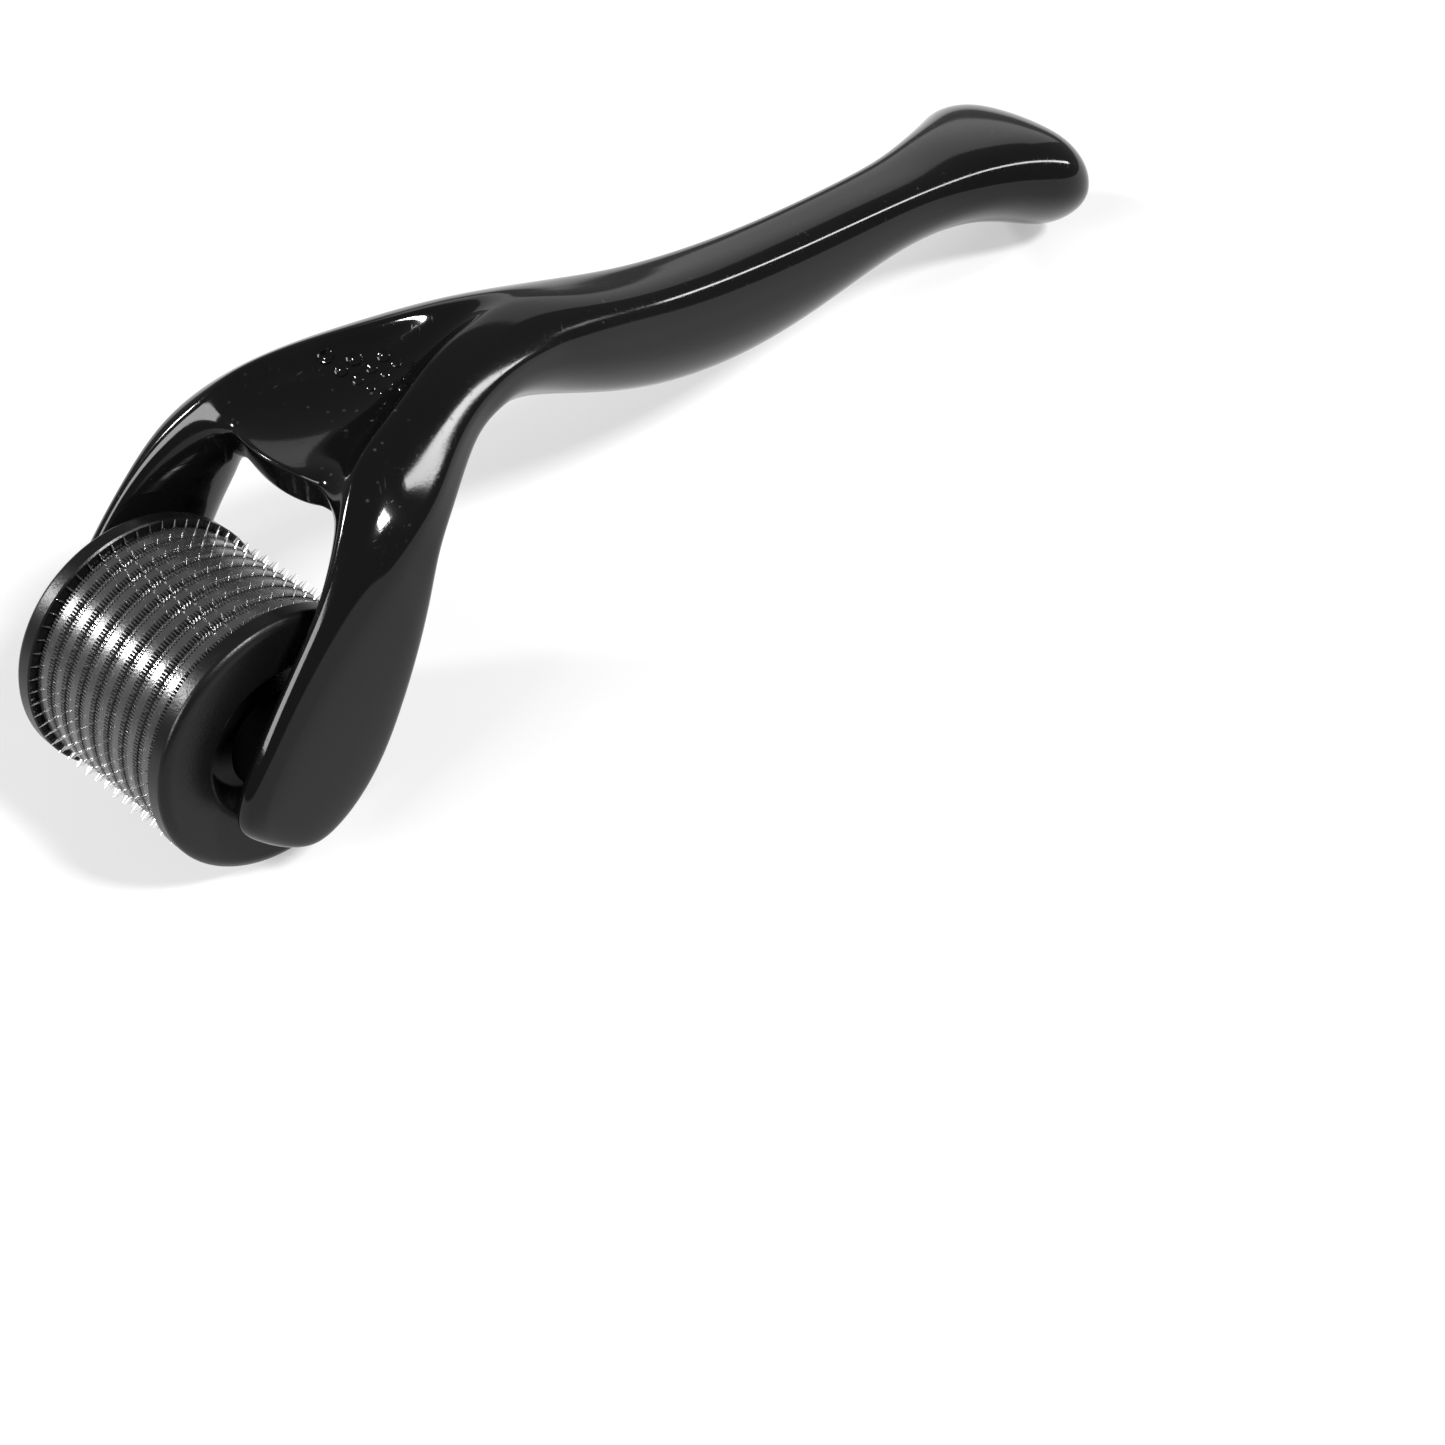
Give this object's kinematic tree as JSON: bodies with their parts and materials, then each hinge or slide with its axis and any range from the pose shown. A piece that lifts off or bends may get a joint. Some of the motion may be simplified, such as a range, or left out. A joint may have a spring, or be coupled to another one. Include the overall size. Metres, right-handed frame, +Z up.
{
  "type": "derma roller",
  "caption": "Derma roller: a one-piece S-curved black handle with a thumb dish and a two-arm fork that holds a free-spinning cylinder of stacked needle discs between end caps.",
  "frame": {"origin": "middle of the footprint, on the surface that the tool lies on", "axes": "+X along the handle from the roller to the tail, +Y along the roller's axle, +Z up"},
  "size_m": [0.123, 0.0264, 0.0298],
  "materials": {
    "moulded_black": "high-gloss injection-moulded black",
    "roller_black": "satin black moulding",
    "spacer_plastic": "dark grey ribbed moulding",
    "needle_steel": "stamped and ground stainless steel"
  },
  "bodies": {
    "handle": {"handle": "moulded_black"},
    "roller": {"roller_core": "roller_black", "roller_cap_left": "roller_black", "roller_cap_right": "roller_black", "needle_disc_1": "needle_steel", "needle_disc_2": "needle_steel", "needle_disc_3": "needle_steel", "needle_disc_4": "needle_steel", "needle_disc_5": "needle_steel", "needle_disc_6": "needle_steel", "needle_disc_7": "needle_steel", "needle_disc_8": "needle_steel", "needle_disc_9": "needle_steel", "spacer_ring_1": "spacer_plastic", "spacer_ring_2": "spacer_plastic", "spacer_ring_3": "spacer_plastic", "spacer_ring_4": "spacer_plastic", "spacer_ring_5": "spacer_plastic", "spacer_ring_6": "spacer_plastic", "spacer_ring_7": "spacer_plastic", "spacer_ring_8": "spacer_plastic"}
  },
  "joints": [
    {"name": "roller_spin", "type": "hinge", "parent": "handle", "child": "roller", "pos_m": [-0.0505, 0, 0.01098], "axis": [0, 1, 0], "continuous": true}
  ]
}
